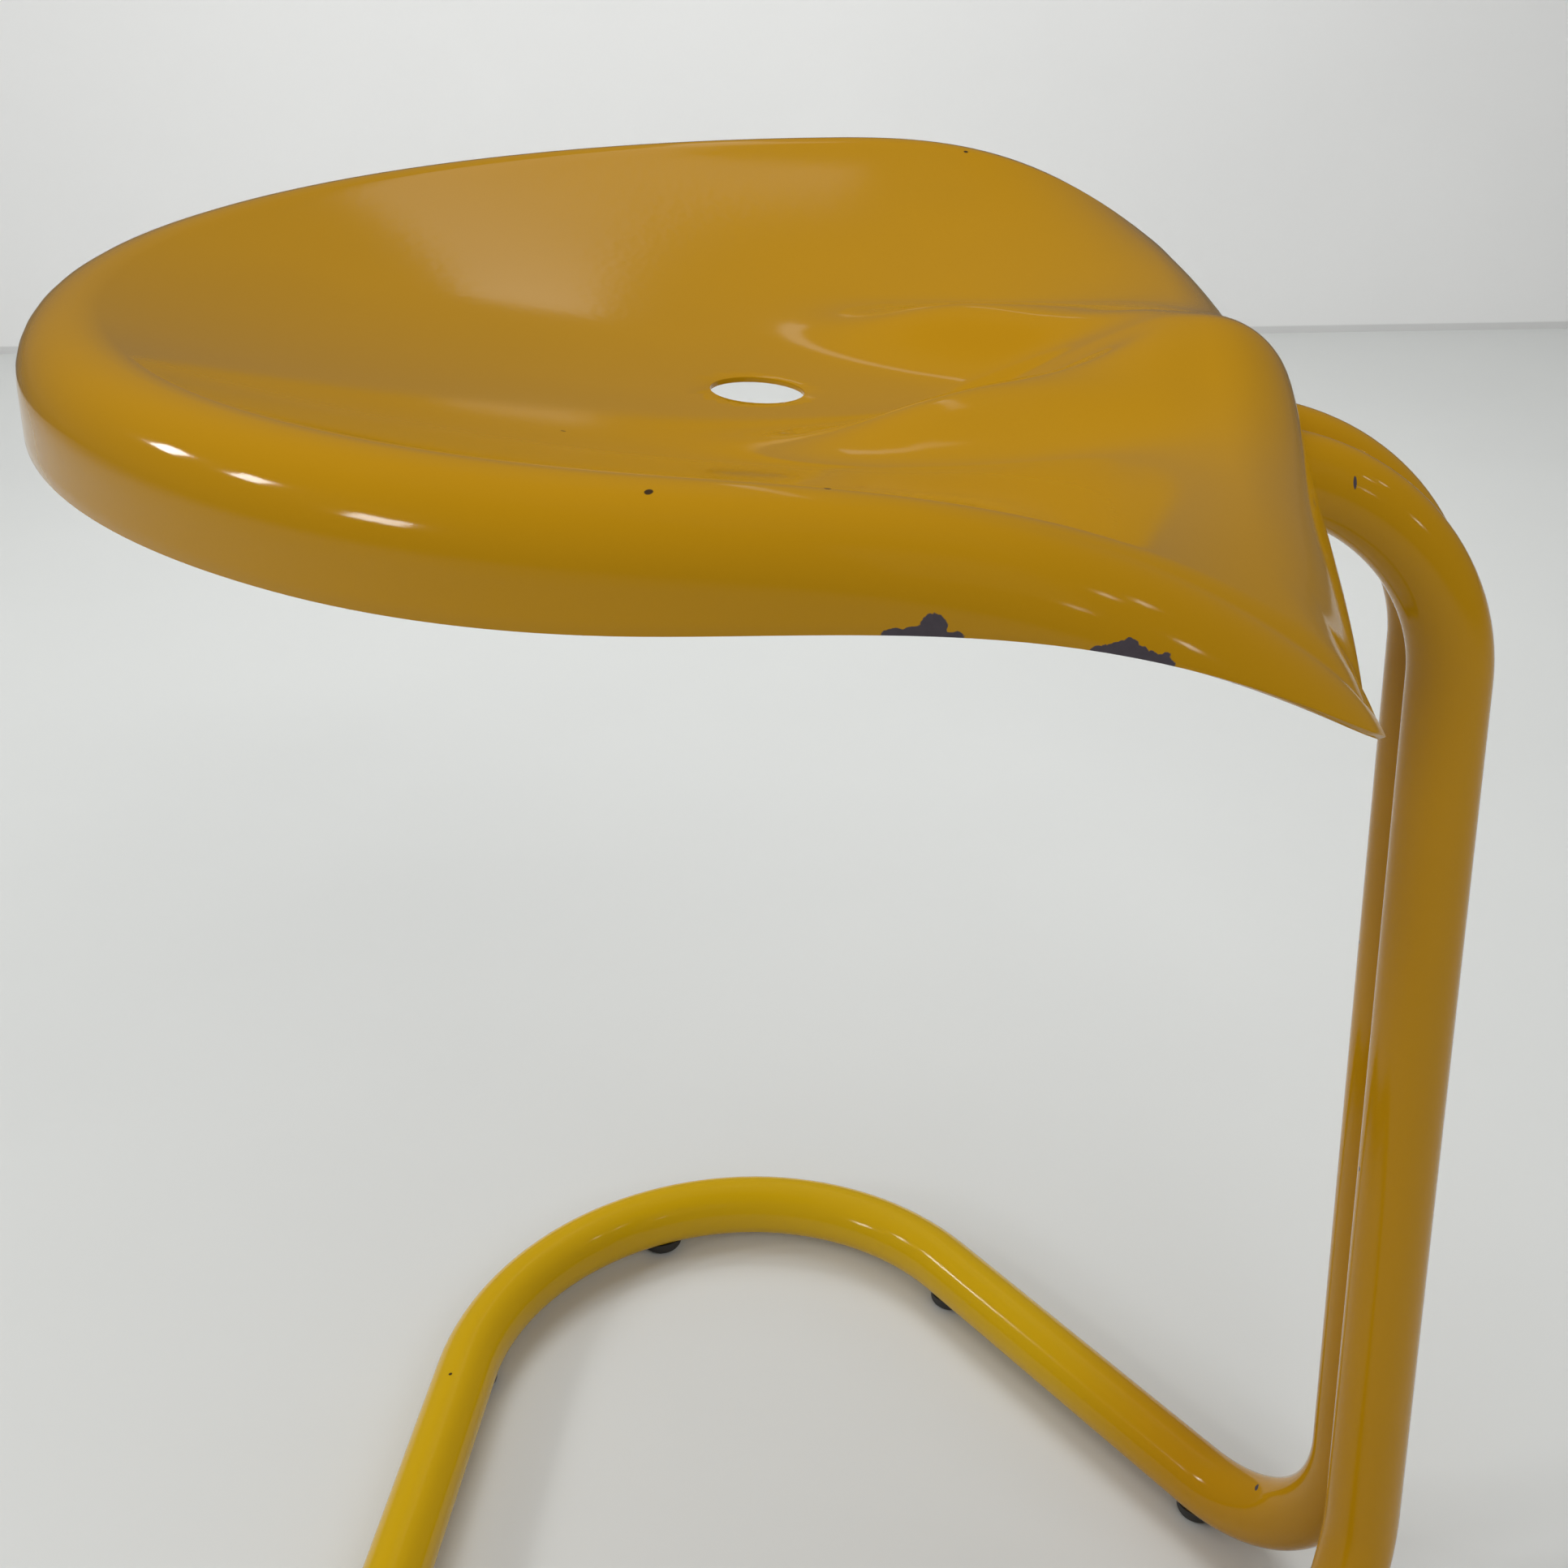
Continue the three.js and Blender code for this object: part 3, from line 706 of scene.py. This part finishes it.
def enamel_material(name, chips, specks, faded):
    finish = stool("finish")
    w = Wiring(name)
    cloud = w.noise(CLOUD_SCALE, 3.0)
    grain = w.noise(GRAIN_SCALE, 2.0)
    base = w.mixed(w.between(cloud, *CLOUD_RANGE), rgba(finish.enamel), rgba(finish.enamel, CLOUD_TINT))
    # Painted light: low on the frame and behind the uprights the enamel turns to a lighter yellow, for the
    # brighter light that falls on the loop on the floor.
    if faded:
        low = w.between(w.axis("Z"), *PAINTED_LIGHT_HEIGHT_RANGE)
        behind = w.between(w.axis("Y"), *PAINTED_LIGHT_BACK_RANGE)
        base = w.mixed(w.math("MULTIPLY", low, behind), base, rgba(finish.enamel_painted_light))
    painted = w.mixed(w.math("MULTIPLY", grain, GRAIN_SHARE), base, rgba(finish.enamel, GRAIN_TINT))
    dot = 0.0
    for middle, radius in specks:
        dot = w.math("MAXIMUM", dot, w.between(w.spot(middle, (radius, radius, radius)), *SPECK_RANGE))
    painted = w.mixed(dot, painted, rgba(finish.dust))
    ragged = w.math("MULTIPLY", w.math("SUBTRACT", w.noise(CHIP_EDGE_SCALE, 3.0), 0.5), CHIP_EDGE_SHARE)
    chipped = 0.0
    for middle, radii in chips:
        reach = w.math("ADD", w.spot(middle, radii), ragged)
        chipped = w.math("MAXIMUM", chipped, w.between(reach, *CHIP_RANGE))
    bare = w.mixed(w.noise(PRIMER_SCALE, 3.0), rgba(finish.primer), rgba(finish.primer, PRIMER_TINT))
    spread = [finish.enamel_roughness + step for step in ROUGHNESS_SPREAD]
    roughness = w.between(cloud, *SHINE_RANGE, *spread)
    peel = w.math("MULTIPLY", w.noise(PEEL_SCALE, 1.0), PEEL_HEIGHT_SHARE)
    height = w.math("ADD", peel, w.math("MULTIPLY", grain, GRAIN_HEIGHT_SHARE))
    height = w.math("SUBTRACT", height, w.math("MULTIPLY", chipped, CHIP_DEPTH_SHARE))
    w.feed(w.mixed(chipped, painted, bare), w.shader.inputs["Base Color"])
    roughness = w.math("ADD", roughness, w.math("MULTIPLY", chipped, CHIP_ROUGHNESS))
    w.feed(roughness, w.shader.inputs["Roughness"])
    w.bump(height, PEEL_STRENGTH, PEEL_DEPTH)
    w.feed(finish.enamel_shine, w.shader.inputs["Specular IOR Level"])
    w.feed(ENAMEL_IOR, w.shader.inputs["IOR"])
    return w.material


def plastic_material(name):
    tone = stool("finish").plastic
    w = Wiring(name)
    cloud = w.noise(PLASTIC_CLOUD_SCALE, 3.0)
    mottled = w.mixed(w.between(cloud, *PLASTIC_CLOUD_RANGE), rgba(tone), rgba(tone, PLASTIC_TINT))
    w.feed(mottled, w.shader.inputs["Base Color"])
    w.feed(w.between(cloud, *SHINE_RANGE, *PLASTIC_ROUGHNESS), w.shader.inputs["Roughness"])
    w.bump(w.noise(PLASTIC_GRAIN_SCALE, 2.0), PLASTIC_GRAIN_STRENGTH, PLASTIC_GRAIN_DEPTH)
    return w.material


def matte_material(name, tone, marks):
    w = Wiring(name)
    cloud = w.between(w.noise(STAGE_CLOUD_SCALE, 4.0), *STAGE_CLOUD_RANGE)
    surface = w.mixed(cloud, rgba(tone), rgba(tone, CLOUD_TINT))
    if marks:
        dirt = w.between(w.noise(FLOOR_MARK_SCALE, 4.0, 0.7), *FLOOR_MARK_RANGE, 0.0, FLOOR_MARK_SHARE)
        surface = w.mixed(dirt, surface, rgba(tone, FLOOR_MARK_TINT))
    else:
        # Painted shadow: a thin dark line along the wall's foot, where it meets the floor.
        foot = w.between(w.axis("Z"), *WALL_SHADOW_LINE_RANGE, 0.0, WALL_SHADOW_LINE_SHARE)
        surface = w.mixed(foot, surface, rgba(tone, WALL_SHADOW_LINE_TINT))
    w.feed(surface, w.shader.inputs["Base Color"])
    w.feed(STAGE_ROUGHNESS, w.shader.inputs["Roughness"])
    return w.material


# Each lamp's place, aim, width and height, roll in degrees, watts, and if the enamel mirrors it

LAMPS = (
    ("overhead_lamp", (0.3, 0.2, 2.6), (0, 0, 0.2), (2.4, 2.4), 0, 25.0, False),
    ("front_lamp", (-1.9, -1.1, 2.3), (0, 0, 0.2), (2.0, 1.6), 0, 33.0, False),
    ("left_lamp", (-1.0, 2.6, 1.7), (0, 0, 0.1), (1.4, 1.0), 0, 14.0, False),
    ("far_lamp", (1.7, 0.4, 2.1), (0, 0, 0.3), (1.2, 1.0), 0, 13.0, False),
    ("wall_lamp", (0.9, 0.1, 1.3), (2.05, 0.1, 0.4), (0.8, 0.8), 0, 5.0, False),
    ("window_lamp", (1.83, 0.165, 1.87), (0.11, 0.1, 0.5), (0.07, 0.9), 12.3, 0.15, True),
    ("left_bulb", (0.22, 2.1, 1.37), (-0.18, 0.11, 0.51), (0.20, 0.20), 0, 3.4, True),
    ("far_left_bulb", (-0.33, 2.05, 1.47), (-0.2, 0.09, 0.51), (0.20, 0.20), 0, 3.6, True),
    ("near_left_bulb", (-1.2, 1.85, 1.17), (-0.21, 0.06, 0.51), (0.30, 0.24), 0, 5.8, True),
    ("right_bulb", (-0.6, -1.6, 1.85), (-0.22, -0.08, 0.5), (0.12, 0.10), 0, 0.45, True),
    ("near_right_bulb", (-0.22, -1.7, 1.75), (-0.22, -0.08, 0.5), (0.12, 0.10), 0, 0.45, True),
    ("bend_bulb", (-0.89, -1.83, 1.14), (-0.03, -0.18, 0.45), (0.12, 0.10), 0, 0.7, True),
    ("near_bend_bulb", (-1.45, -1.31, 1.28), (-0.03, -0.16, 0.46), (0.12, 0.10), 0, 0.3, True),
)

# Middles and radii of the chips, scratches and specks in the enamel

SEAT_CHIPS = (
    ((-0.2322, -0.0465, 0.4993), (0.004, 0.0029, 0.0044)),
    ((-0.2322, -0.0440, 0.4985), (0.004, 0.0078, 0.0024)),
    ((-0.2262, -0.0800, 0.4930), (0.004, 0.0062, 0.0036)),
    ((-0.2250, -0.0850, 0.4912), (0.004, 0.0062, 0.0028)),
)
TUBE_CHIPS = (
    ((-0.0260, -0.1588, 0.4634), (0.0016, 0.0005, 0.0018)),
    ((0.0394, -0.1660, 0.0386), (0.0016, 0.0034, 0.0005)),
)
SEAT_SPECKS = (
    ((0.0520, -0.0483, 0.4815), 0.0008),
    ((0.0619, 0.0029, 0.4827), 0.0006),
    ((0.2112, -0.0446, 0.5181), 0.0009),
    ((-0.1361, -0.0273, 0.4954), 0.0008),
    ((-0.2151, -0.0262, 0.5210), 0.0007),
    ((-0.2203, 0.0062, 0.5214), 0.0009),
    ((-0.0789, 0.0531, 0.4901), 0.0007),
)
TUBE_SPECKS = (
    ((0.0924, 0.1597, 0.0289), 0.0008),
    ((0.0148, -0.1806, 0.2921), 0.0008),
    ((-0.0161, -0.1806, 0.2265), 0.0008),
)


def shared_material(name, make, *details):
    return bpy.data.materials.get(name) or make(name, *details)


def seat_enamel():
    return shared_material("seat_enamel", enamel_material, SEAT_CHIPS, SEAT_SPECKS, False)


def frame_enamel():
    # The frame's enamel carries the painted light on the loop on the floor.
    return shared_material("frame_enamel", enamel_material, TUBE_CHIPS, TUBE_SPECKS, True)


def black_plastic():
    return shared_material("black_plastic", plastic_material)


# One operator for each piece or group of like pieces

class STOOL_OT_seat_pan(bpy.types.Operator):
    """Spins, trims, punches and presses the seat pan, and gives the sheet its thickness"""
    bl_idname = "stool.seat_pan"
    bl_label = "Seat pan"

    def execute(self, context):
        pan = stool("pan")
        steps = 288
        profile = pan_profile(skirt_steps=4, outer_steps=8, inner_steps=12, bowl_steps=56)
        sheet = fit_outline(spun_profile("seat_pan_pressed", profile, steps), steps)
        middle = min(sheet.data.polygons, key=lambda face: face.center.xy.length)
        if middle.normal.z < 0:
            sheet.data.flip_normals()
        punch_drain(sheet)
        press(sheet)
        sheet.data.transform(Matrix.Translation((0, upright_y() + pan.seat_reach, 0)))
        apply_modifier(sheet, "SOLIDIFY", thickness=pan.thickness, offset=-1.0, use_even_offset=False)
        apply_modifier(
            sheet, "BEVEL", width=pan.edge_round, segments=2, limit_method="ANGLE",
            angle_limit=math.radians(60),
        )
        smooth(sheet, 45)
        finish_piece(sheet, ["seat_pan"], seat_enamel())
        return {"FINISHED"}


class STOOL_OT_frame_tube(bpy.types.Operator):
    """Bends one half of the frame tube from its open end round to the cross-piece, and mirrors it"""
    bl_idname = "stool.frame_tube"
    bl_label = "Frame tube"

    def execute(self, context):
        tube = stool("tube")
        x, y, top = upright_x(), upright_y(), tube.run_height
        bend_steps, corner_steps = 30, 46
        clear_selection()
        bpy.ops.mesh.primitive_circle_add(
            vertices=48, radius=tube_radius(), location=(x, y + tube.run_length, top),
            rotation=(QUARTER_TURN, 0, 0),
        )
        pipe = settle(named("frame_tube_bent"))
        edit_all(pipe)
        self.run((0, tube.seat_bend - tube.run_length, 0))
        self.bend((x, y + tube.seat_bend, top - tube.seat_bend), (1, 0, 0), QUARTER_TURN, bend_steps)
        self.run((0, 0, base_height() + tube.foot_bend + tube.seat_bend - top))
        angle = leg_angle()
        along = Vector((math.sin(angle), math.cos(angle), 0))
        side = Vector((math.cos(angle), -math.sin(angle), 0))
        upright = Vector((x, y, base_height() + tube.foot_bend))
        self.bend(upright + along * tube.foot_bend, side, QUARTER_TURN, bend_steps)
        middle = corner_middle() + Vector((0, y, base_height()))
        leg_end = (middle - Vector((x, y, base_height()))).dot(along)
        self.run(along * (leg_end - tube.foot_bend))
        self.bend(middle, (0, 0, 1), QUARTER_TURN + angle, corner_steps)
        self.run((-corner_middle().x, 0, 0))
        leave_edit()
        apply_modifier(
            pipe, "MIRROR", use_axis=(True, False, False), use_clip=True, use_mirror_merge=True,
            merge_threshold=0.05 * MM,
        )
        merge_and_face_out(pipe)
        apply_modifier(pipe, "SOLIDIFY", thickness=tube.wall, offset=-1.0)
        self.drill(pipe)
        smooth(pipe, 40)
        finish_piece(pipe, ["frame_tube"], frame_enamel())
        return {"FINISHED"}

    def run(self, step):
        bpy.ops.mesh.extrude_edges_move(TRANSFORM_OT_translate={"value": Vector(step)})

    def bend(self, middle, axis, angle, steps):
        """Turns the open ring about an axis by the right-hand rule, the other way from spin's own."""
        bpy.ops.mesh.spin(steps=steps, angle=-angle, center=middle, axis=Vector(axis))

    def drill(self, pipe):
        glide = stool("glide")
        clear_selection()
        for spot in glide_places():
            for side in (1, -1):
                bpy.ops.mesh.primitive_cylinder_add(
                    vertices=24, radius=glide.stem_diameter / 2 + glide.hole_gap, depth=base_height(),
                    location=(side * spot.x, spot.y, base_height() / 2),
                )
                cut_away(pipe, bpy.context.object)


def glide_places():
    glide = stool("glide")
    return [
        leg_place(glide.heel_reach), leg_place(glide.leg_reach),
        corner_place(glide.corner_share), corner_place(glide.cross_share),
    ]


class STOOL_OT_weld_beads(bpy.types.Operator):
    """Lays a rippled weld bead between each run of the tube and the pan"""
    bl_idname = "stool.weld_beads"
    bl_label = "Weld beads"

    def execute(self, context):
        weld = stool("weld")
        pan = stool("pan")
        top = pan.rim_height - pan.bowl_depth - pan.thickness
        centre = Vector((
            upright_x() + weld.offset, upright_y() + weld.reach + weld.bead_length / 2, top - weld.radius / 2,
        ))
        bead = spun_profile("weld_bead_right_rippled", self.profile(), 32)
        bead.data.transform(Matrix.Translation(centre) @ Matrix.Rotation(QUARTER_TURN, 4, "X"))
        self.seat_in_corner(bead)
        merge_and_face_out(bead)
        smooth(bead, 60)
        twin = mirrored(bead, "weld_bead_left_rippled")
        finish_piece(bead, ["weld_bead_right"], frame_enamel())
        finish_piece(twin, ["weld_bead_left"], frame_enamel())
        return {"FINISHED"}

    def profile(self):
        """From one round end to the other, with a ripple for each drop of the weld."""
        weld = stool("weld")
        half = weld.bead_length / 2
        ends, rings = 6, 72
        points = [(0, 0, -half - weld.radius)]
        for k in range(1, ends):
            angle = QUARTER_TURN * k / ends
            points.append((weld.radius * math.sin(angle), 0, -half - weld.radius * math.cos(angle)))
        for k in range(rings + 1):
            along = weld.bead_length * (k / rings - 0.5)
            wave = abs(math.cos(math.pi * (along + half) / weld.ripple_pitch))
            points.append((weld.radius - weld.ripple_height * (1 - wave), 0, along))
        for k in range(ends - 1, 0, -1):
            angle = QUARTER_TURN * k / ends
            points.append((weld.radius * math.sin(angle), 0, half + weld.radius * math.cos(angle)))
        return [*points, (0, 0, half + weld.radius)]

    def seat_in_corner(self, bead):
        """Draws the bead back to the tube's side and the pan's under side, a gap clear of both."""
        gap = stool("glide").seat_gap
        clear = tube_radius() + gap
        axis_x, axis_z = upright_x(), stool("tube").run_height
        for vertex in bead.data.vertices:
            point = vertex.co
            away = Vector((point.x - axis_x, 0, point.z - axis_z))
            if away.length < clear:
                point += away.normalized() * (clear - away.length)
            point.z = min(point.z, under_side(point.x, point.y) - gap)


class STOOL_OT_end_plugs(bpy.types.Operator):
    """Turns the plastic plugs for the two open tube ends under the seat"""
    bl_idname = "stool.end_plugs"
    bl_label = "End plugs"

    def execute(self, context):
        plug = stool("plug")
        tube = stool("tube")
        outside = tube_radius()
        inside = outside - tube.wall - plug.fit_gap
        crown = plug.crown
        edge_steps, face_steps = 6, 8
        points = [(0, 0, -plug.insert), (inside - crown, 0, -plug.insert), (inside, 0, crown - plug.insert)]
        points += [(inside, 0, 0), (outside, 0, 0), (outside, 0, plug.head - crown)]
        for k in range(1, edge_steps + 1):
            angle = QUARTER_TURN * k / edge_steps
            points.append((
                outside - crown * (1 - math.cos(angle)), 0, plug.head - crown * (1 - math.sin(angle)),
            ))
        for k in range(face_steps - 1, -1, -1):
            distance = (outside - crown) * k / face_steps
            points.append((distance, 0, plug.head + crown * (1 - (distance / (outside - crown)) ** 2)))
        body = spun_profile("end_plug_right_turned", points, 48)
        gap = stool("glide").seat_gap
        end = Vector((upright_x(), upright_y() + tube.run_length + gap, tube.run_height))
        body.data.transform(Matrix.Translation(end) @ Matrix.Rotation(-QUARTER_TURN, 4, "X"))
        smooth(body, 35)
        twin = copied(body, "end_plug_left_turned", Matrix.Translation((-2 * end.x, 0, 0)))
        finish_piece(body, ["end_plug_right"], black_plastic())
        finish_piece(twin, ["end_plug_left"], black_plastic())
        return {"FINISHED"}


class STOOL_OT_glides(bpy.types.Operator):
    """Turns the black glides and hollows each one to the tube that it stands under"""
    bl_idname = "stool.glides"
    bl_label = "Glides"

    def execute(self, context):
        names = ("heel", "leg", "corner", "cross")
        for kind, spot in zip(names, glide_places()):
            glide = self.glide(f"glide_{kind}_right_turned", spot, kind in ("corner", "cross"))
            twin = mirrored(glide, f"glide_{kind}_left_turned")
            finish_piece(glide, [f"glide_{kind}_right"], black_plastic())
            finish_piece(twin, [f"glide_{kind}_left"], black_plastic())
        return {"FINISHED"}

    def glide(self, name, spot, on_bend):
        size = stool("glide")
        tube = stool("tube")
        face, outside = size.face_diameter / 2, size.diameter / 2
        points = [(0, 0, 0), (face / 2, 0, 0)]
        steps = 8
        for k in range(steps + 1):
            angle = QUARTER_TURN * k / steps
            points.append((
                face + (outside - face) * math.sin(angle), 0, size.round_height * (1 - math.cos(angle)),
            ))
        points += [(outside, 0, size.height), (0, 0, size.height)]
        body = spun_profile(name, points, 48)
        body.data.transform(Matrix.Translation(spot))
        clear = tube_radius() + size.seat_gap
        clear_selection()
        if on_bend:
            middle = corner_middle() + Vector((0, upright_y(), base_height()))
            bpy.ops.mesh.primitive_torus_add(
                location=middle, major_segments=256, minor_segments=64,
                major_radius=tube.corner_bend, minor_radius=clear,
            )
        else:
            bpy.ops.mesh.primitive_cylinder_add(
                vertices=96, radius=clear, depth=4 * size.diameter,
                location=(spot.x, spot.y, base_height()), rotation=(QUARTER_TURN, 0, -leg_angle()),
            )
        cut_away(body, bpy.context.object)
        reach = size.drop + tube.wall + size.stem_reach - size.round_height / 2
        bpy.ops.mesh.primitive_cylinder_add(
            vertices=32, radius=size.stem_diameter / 2, depth=reach,
            location=(spot.x, spot.y, size.round_height / 2 + reach / 2),
        )
        stem = bpy.context.object
        apply_modifier(stem, "BEVEL", width=size.stem_diameter / 10, segments=2, limit_method="ANGLE")
        cut_away(body, stem, "UNION")
        merge_and_face_out(body)
        return smooth(body, 35)


class STOOL_OT_stage(bpy.types.Operator):
    """Sets up the pale floor and wall, the soft lamps and the camera"""
    bl_idname = "stool.stage"
    bl_label = "Stage"

    def execute(self, context):
        self.floor_and_wall()
        self.lamps(context)
        self.camera(context)
        return {"FINISHED"}

    def floor_and_wall(self):
        stage = stool("stage")
        finish = stool("finish")
        clear_selection()
        bpy.ops.mesh.primitive_plane_add(size=stage.floor_size, location=(0, 0, 0))
        floor = named("floor")
        floor.data.materials.append(matte_material("pale_floor", finish.floor, True))
        clear_selection()
        bpy.ops.mesh.primitive_plane_add(
            size=stage.wall_height, location=(stage.wall_distance, 0, stage.wall_height / 2),
            rotation=(0, -QUARTER_TURN, stage.wall_turn),
        )
        bpy.ops.transform.resize(value=(1, stage.wall_stretch, 1))
        wall = settle(named("wall"))
        wall.data.materials.append(matte_material("pale_wall", finish.wall, False))
        wall.visible_glossy = False

    def lamps(self, context):
        stage = stool("stage")
        scale = stage.light_scale
        world = bpy.data.worlds.new("studio_sky")
        world.use_nodes = True
        nodes, links = world.node_tree.nodes, world.node_tree.links
        dim = nodes["Background"]
        dim.inputs["Color"].default_value = (1.0, 1.0, 1.0, 1.0)
        dim.inputs["Strength"].default_value = stage.sky_light * scale
        backdrop = nodes.new("ShaderNodeBackground")
        backdrop.inputs["Color"].default_value = rgba(stage.backdrop)
        chosen = nodes.new("ShaderNodeMixShader")
        links.new(nodes.new("ShaderNodeLightPath").outputs["Is Camera Ray"], chosen.inputs[0])
        links.new(dim.outputs[0], chosen.inputs[1])
        links.new(backdrop.outputs[0], chosen.inputs[2])
        links.new(chosen.outputs[0], nodes["World Output"].inputs["Surface"])
        context.scene.world = world
        for name, where, aim, size, roll, watts, mirrored in LAMPS:
            light = bpy.data.lights.new(name, "AREA")
            light.shape = "RECTANGLE"
            light.size, light.size_y = size
            light.energy = watts * scale
            lamp = bpy.data.objects.new(name, light)
            context.collection.objects.link(lamp)
            lamp.location = where
            facing = (Vector(where) - Vector(aim)).to_track_quat("Z", "Y")
            lamp.rotation_euler = (facing @ Quaternion(FLOOR_UP, math.radians(roll))).to_euler()
            lamp.visible_glossy = mirrored
            lamp.visible_camera = False

    def camera(self, context):
        stage = stool("stage")
        yaw, pitch, roll = stage.camera_yaw, stage.camera_pitch, stage.camera_roll
        ahead = Vector((math.cos(pitch) * math.cos(yaw), math.cos(pitch) * math.sin(yaw), -math.sin(pitch)))
        level = Vector((math.sin(yaw), -math.cos(yaw), 0))
        up = level.cross(ahead)
        right = level * math.cos(roll) + up * math.sin(roll)
        up = up * math.cos(roll) - level * math.sin(roll)
        lens = bpy.data.cameras.new("photo_camera")
        lens.sensor_width = stage.sensor
        lens.lens = stage.lens
        lens.shift_x, lens.shift_y = stage.shift_x, stage.shift_y
        camera = bpy.data.objects.new("photo_camera", lens)
        context.collection.objects.link(camera)
        turned = Matrix((right, up, -ahead)).transposed().to_4x4()
        camera.matrix_world = Matrix.Translation(stage.camera_place) @ turned
        context.scene.camera = camera
        context.scene.view_settings.view_transform = "Standard"


OPERATORS = (
    STOOL_OT_seat_pan, STOOL_OT_frame_tube, STOOL_OT_weld_beads,
    STOOL_OT_end_plugs, STOOL_OT_glides, STOOL_OT_stage,
)


class STOOL_PT_pieces(bpy.types.Panel):
    """Lists the stool's sizes and finishes and a button for each piece"""
    bl_idname = "STOOL_PT_pieces"
    bl_label = "Tractor seat stool"
    bl_space_type = "VIEW_3D"
    bl_region_type = "UI"
    bl_category = "Stool"

    def draw(self, context):
        for key, group in GROUPS.items():
            box = self.layout.box()
            for setting in group.__annotations__:
                box.prop(getattr(context.scene, key), setting)
        for operator in OPERATORS:
            self.layout.operator(operator.bl_idname)


def register():
    for group in GROUPS.values():
        bpy.utils.register_class(group)
    for key, group in GROUPS.items():
        setattr(bpy.types.Scene, key, PointerProperty(type=group))
    for operator in OPERATORS:
        bpy.utils.register_class(operator)
    bpy.utils.register_class(STOOL_PT_pieces)


def unregister():
    bpy.utils.unregister_class(STOOL_PT_pieces)
    for operator in reversed(OPERATORS):
        bpy.utils.unregister_class(operator)
    for key in GROUPS:
        delattr(bpy.types.Scene, key)
    for group in reversed(GROUPS.values()):
        bpy.utils.unregister_class(group)


def main():
    register()
    bpy.ops.stool.seat_pan()
    bpy.ops.stool.frame_tube()
    bpy.ops.stool.weld_beads()
    bpy.ops.stool.end_plugs()
    bpy.ops.stool.glides()
    bpy.ops.stool.stage()


if __name__ == "__main__":
    main()
